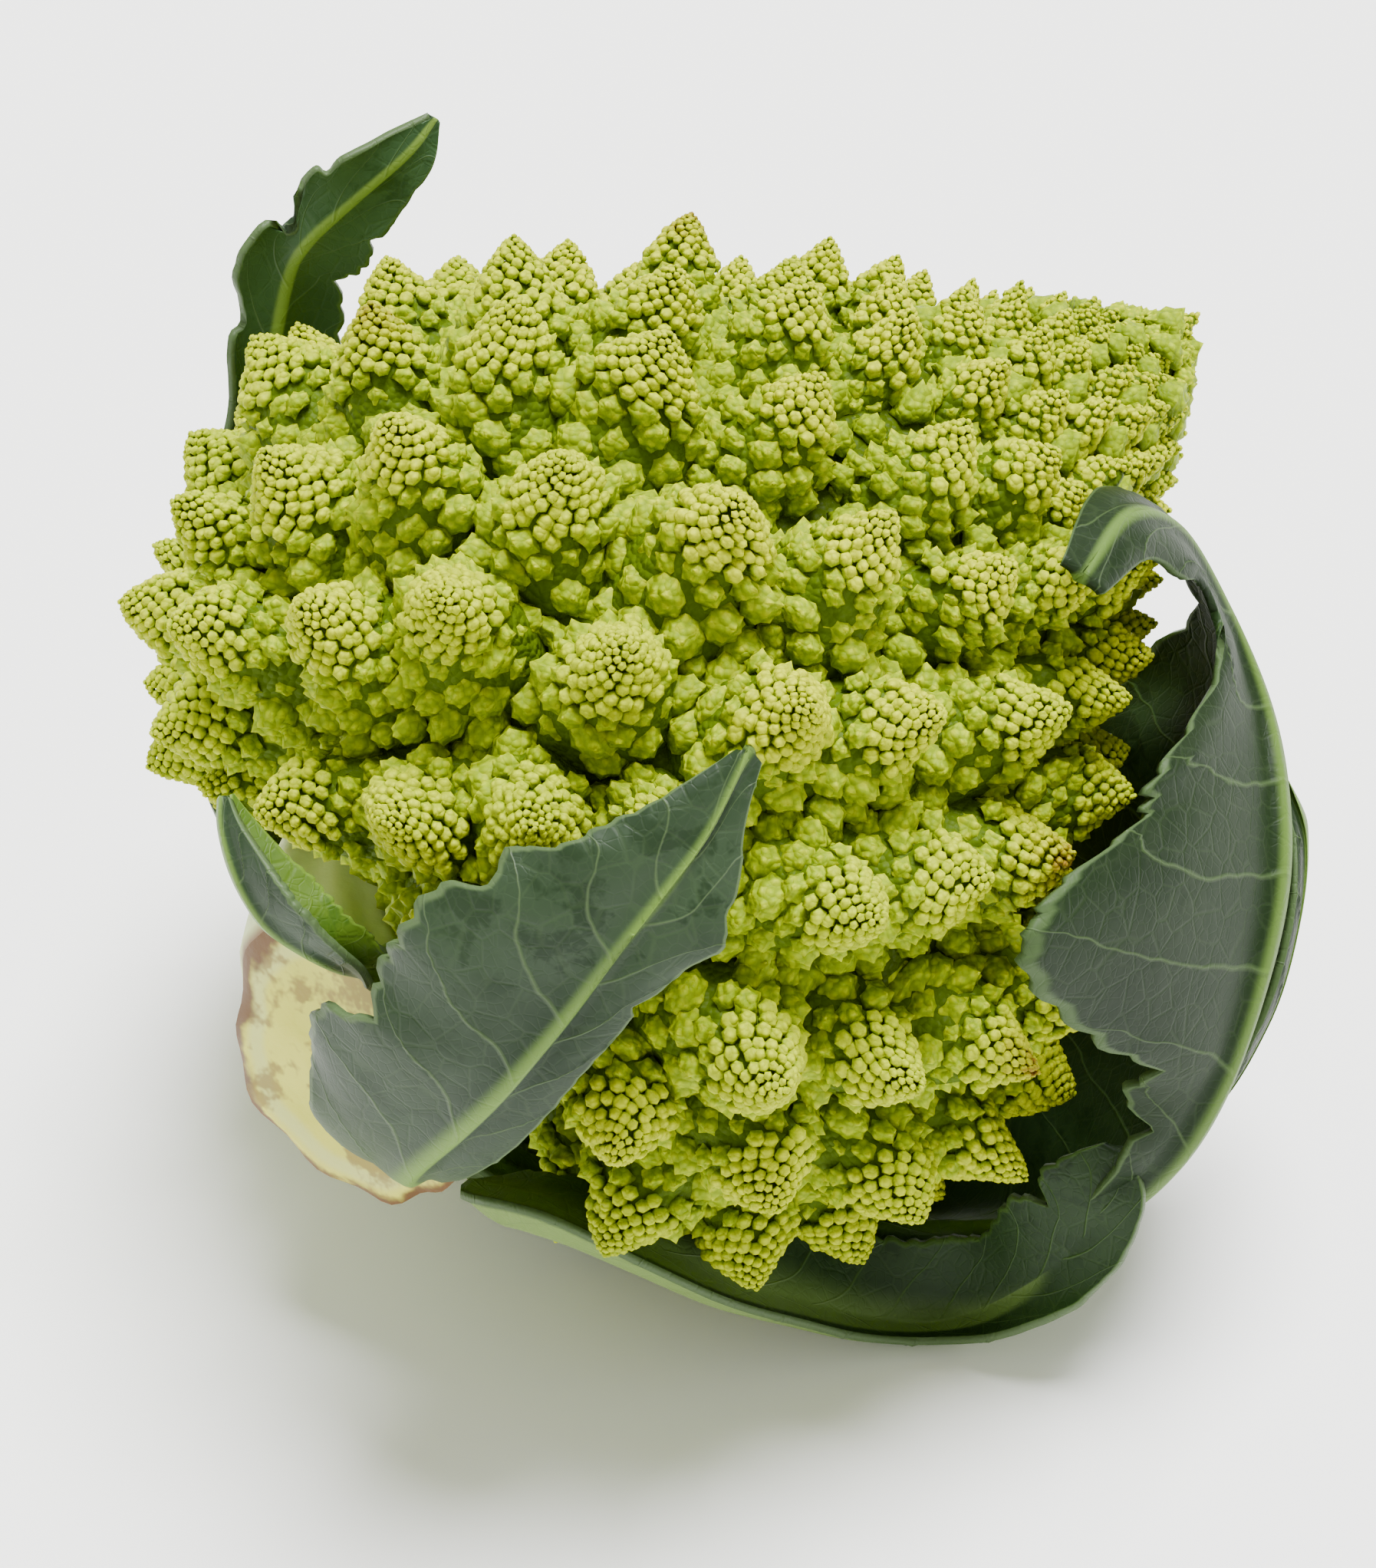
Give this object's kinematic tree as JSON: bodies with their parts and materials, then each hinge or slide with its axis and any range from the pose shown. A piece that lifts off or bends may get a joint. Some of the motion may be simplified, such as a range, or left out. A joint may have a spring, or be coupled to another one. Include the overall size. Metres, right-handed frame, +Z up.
{
  "type": "romanesco head",
  "caption": "Pointed head of spiralling florets with a short cut stalk and leaves round it, lying on its side.",
  "frame": {"origin": "on the surface that the head lies on, under the middle of its box", "axes": "+Z up, +X to the right as the viewer sees the head, towards its point, +Y away from the viewer"},
  "size_m": [0.1592, 0.15, 0.1443],
  "materials": {
    "curd": "satin",
    "stalk": "satin",
    "leaf_outer": "waxy",
    "leaf_inner": "satin"
  },
  "bodies": {
    "root": {"curd": "curd", "stalk": "stalk", "leaf_front": "leaf_outer", "leaf_right": "leaf_outer", "leaf_right_outer": "leaf_outer", "leaf_under": "leaf_inner", "leaf_back": "leaf_inner", "leaf_small": "leaf_inner"}
  },
  "joints": []
}
